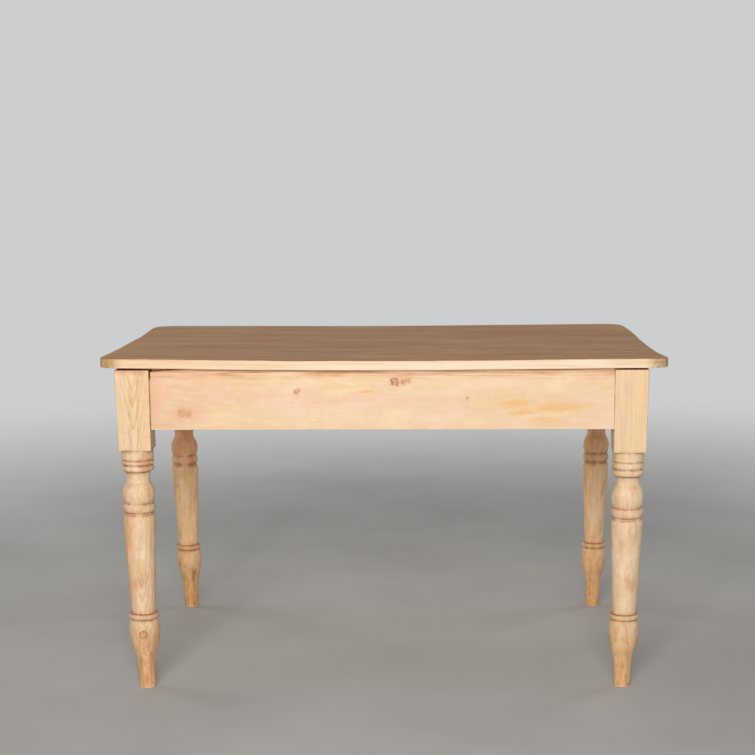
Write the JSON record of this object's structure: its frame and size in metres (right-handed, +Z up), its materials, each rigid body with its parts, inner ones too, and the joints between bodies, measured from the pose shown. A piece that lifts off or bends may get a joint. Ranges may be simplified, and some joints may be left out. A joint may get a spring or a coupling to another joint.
{
  "type": "kitchen table with drawers",
  "caption": "Pine kitchen table with a rounded plank top, turned legs under square blocks, a deep plain apron and a sliding drawer with a turned knob in each short end.",
  "frame": {"origin": "on the floor, under the middle of the table top", "axes": "+X along the table towards the right-hand drawer, +Z up, -Y the near long side of the picture"},
  "size_m": [1.275, 0.85, 0.762],
  "materials": {
    "pine_top": "scrubbed and waxed pine, worn and greyed",
    "pine_legs": "waxed pine turnings with dark wax in the grooves",
    "pine_rails": "waxed pine boards with knots",
    "pine_inner_frame": "bare sawn and planed pine",
    "pine_drawer_fronts": "waxed pine boards",
    "pine_drawer_linings": "bare planed pine",
    "pine_knobs": "turned and waxed pine",
    "iron_fasteners": "dull dark iron"
  },
  "bodies": {
    "table_frame": {"centre_bearer": "pine_inner_frame", "drawer_rail_left": "pine_rails", "drawer_rail_right": "pine_rails", "drawer_stops": "pine_inner_frame", "end_rail_left": "pine_rails", "end_rail_right": "pine_rails", "guide_back_left": "pine_inner_frame", "guide_back_right": "pine_inner_frame", "guide_front_left": "pine_inner_frame", "guide_front_right": "pine_inner_frame", "guide_nails": "iron_fasteners", "kicker_back": "pine_inner_frame", "kicker_front": "pine_inner_frame", "leg_back_left": "pine_legs", "leg_back_right": "pine_legs", "leg_front_left": "pine_legs", "leg_front_right": "pine_legs", "runner_back_left": "pine_inner_frame", "runner_back_right": "pine_inner_frame", "runner_front_left": "pine_inner_frame", "runner_front_right": "pine_inner_frame", "side_rail_back": "pine_rails", "side_rail_front": "pine_rails", "top_board_back": "pine_top", "top_board_front": "pine_top", "top_board_middle": "pine_top", "top_screws": "iron_fasteners"},
    "drawer_left": {"drawer_left_back": "pine_drawer_linings", "drawer_left_bottom": "pine_drawer_linings", "drawer_left_front": "pine_drawer_fronts", "drawer_left_knob": "pine_knobs", "drawer_left_nails": "iron_fasteners", "drawer_left_side_back": "pine_drawer_linings", "drawer_left_side_front": "pine_drawer_linings"},
    "drawer_right": {"drawer_right_back": "pine_drawer_linings", "drawer_right_bottom": "pine_drawer_linings", "drawer_right_front": "pine_drawer_fronts", "drawer_right_knob": "pine_knobs", "drawer_right_nails": "iron_fasteners", "drawer_right_side_back": "pine_drawer_linings", "drawer_right_side_front": "pine_drawer_linings"}
  },
  "joints": [
    {"name": "drawer_left_slide", "type": "slide", "parent": "table_frame", "child": "drawer_left", "axis": [-1, 0, 0], "range_m": [0, 0.32]},
    {"name": "drawer_right_slide", "type": "slide", "parent": "table_frame", "child": "drawer_right", "axis": [1, 0, 0], "range_m": [0, 0.32]}
  ]
}
